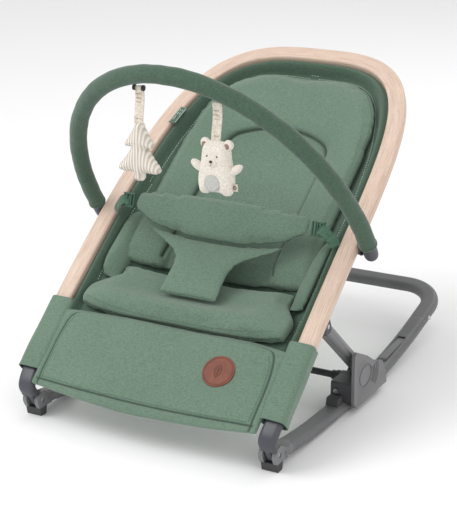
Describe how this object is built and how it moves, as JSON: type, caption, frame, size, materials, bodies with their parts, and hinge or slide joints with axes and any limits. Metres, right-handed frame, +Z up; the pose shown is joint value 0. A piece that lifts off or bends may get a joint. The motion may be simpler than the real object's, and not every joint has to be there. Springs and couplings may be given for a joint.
{
  "type": "baby bouncer seat",
  "caption": "Reclined baby bouncer: bent-wood seat hoop with green padded sling, belt and toy arch, on a folding grey rocking tube base.",
  "frame": {"origin": "middle of the footprint, on the floor", "axes": "+Z up, the feet point to -Y and the head to +Y, +X is the seated baby's left side"},
  "size_m": [0.505, 0.6908, 0.5518],
  "materials": {
    "grey_tube": "satin grey powder coat",
    "slate_metal": "satin slate-grey paint",
    "dark_plastic": "fine moulded texture",
    "black_rubber": "matt",
    "steel": "plain zinc-plated steel",
    "pale_wood": "pale bent plywood under matt lacquer",
    "green_fabric": "green melange woven polyester",
    "green_plastic": "green acetal",
    "green_webbing": "narrow green webbing",
    "brown_leather": "stitched imitation leather",
    "cream_plush": "cream plush, corduroy and ribbon"
  },
  "bodies": {
    "base": {"rocker_rail_left": "grey_tube", "rocker_rail_right": "grey_tube", "rear_tube": "grey_tube", "joint_plug_left": "dark_plastic", "joint_plug_right": "dark_plastic", "foot_housing_left": "grey_tube", "foot_housing_right": "grey_tube", "foot_pad_left": "black_rubber", "foot_pad_right": "black_rubber", "seat_hinge_pin_left": "steel", "seat_hinge_pin_right": "steel", "hub_cover_left": "grey_tube", "hub_cover_right": "grey_tube", "hub_box_left": "dark_plastic", "hub_box_right": "dark_plastic", "hub_screw_left": "steel", "hub_screw_right": "steel", "rail_stop_left": "black_rubber", "rail_stop_right": "black_rubber", "cross_rod": "dark_plastic"},
    "seat": {"wood_hoop": "pale_wood", "leg_tube_left": "slate_metal", "leg_tube_right": "slate_metal", "fabric_sleeve_left": "green_fabric", "fabric_sleeve_right": "green_fabric", "front_panel": "green_fabric", "seat_shell": "green_fabric", "seat_pad": "green_fabric", "back_cushion": "green_fabric", "side_bolster_left": "green_fabric", "side_bolster_right": "green_fabric", "buckle_socket_left": "green_plastic", "buckle_socket_right": "green_plastic", "web_strap_left": "green_webbing", "web_strap_right": "green_webbing", "leather_patch": "brown_leather", "leg_bracket_left": "dark_plastic", "leg_bracket_right": "dark_plastic", "leg_top_pin_left": "steel", "leg_top_pin_right": "steel", "bar_clip_left": "dark_plastic", "bar_clip_right": "dark_plastic"},
    "support_legs": {"support_leg_left": "grey_tube", "support_leg_right": "grey_tube", "leg_foot_pin_left": "steel", "leg_foot_pin_right": "steel"},
    "belt": {"belt_wing": "green_fabric", "crotch_strap": "green_fabric", "buckle_tongue_left": "green_plastic", "buckle_tongue_right": "green_plastic"},
    "toy_bar": {"bar_sleeve": "green_fabric", "bar_core": "dark_plastic", "bar_cap_left": "slate_metal", "bar_cap_right": "slate_metal"},
    "tree": {"tree_ribbon": "cream_plush", "tree_toy": "cream_plush"},
    "bear": {"bear_ribbon": "cream_plush", "bear_toy": "cream_plush"},
    "kickstand_left": {"kickstand_left": "grey_tube"},
    "kickstand_right": {"kickstand_right": "grey_tube"}
  },
  "joints": [
    {"name": "seat_fold", "type": "hinge", "parent": "base", "child": "seat", "pos_m": [0, -0.32227, 0.026], "axis": [1, 0, 0], "range_deg": [-28, 0]},
    {"name": "leg_swing", "type": "hinge", "parent": "seat", "child": "support_legs", "pos_m": [0, -0.17427, 0.17], "axis": [1, 0, 0], "range_deg": [0, 72]},
    {"name": "toy_bar_tilt", "type": "hinge", "parent": "seat", "child": "toy_bar", "pos_m": [0, -0.07487, 0.2619], "axis": [1, 0, 0], "range_deg": [-60, 20]},
    {"name": "tree_swing", "type": "hinge", "parent": "toy_bar", "child": "tree", "pos_m": [-0.037, -0.272, 0.5158], "axis": [1, 0, 0], "range_deg": [-30, 30]},
    {"name": "bear_swing", "type": "hinge", "parent": "toy_bar", "child": "bear", "pos_m": [0.083, -0.2624, 0.5024], "axis": [1, 0, 0], "range_deg": [-30, 30]},
    {"name": "belt_open", "type": "hinge", "parent": "seat", "child": "belt", "pos_m": [0, -0.20627, 0.185], "axis": [1, 0, 0], "range_deg": [0, 45]},
    {"name": "kickstand_left_swing", "type": "hinge", "parent": "base", "child": "kickstand_left", "pos_m": [-0.203, 0.07973, 0.0235], "axis": [1, 0, 0], "range_deg": [-13.5, 0]},
    {"name": "kickstand_right_swing", "type": "hinge", "parent": "base", "child": "kickstand_right", "pos_m": [0.203, 0.07973, 0.0235], "axis": [1, 0, 0], "range_deg": [-13.5, 0]}
  ],
  "couplings": [
    {"joint": "leg_swing", "follows": "seat_fold", "ratio": -2.4467}
  ]
}
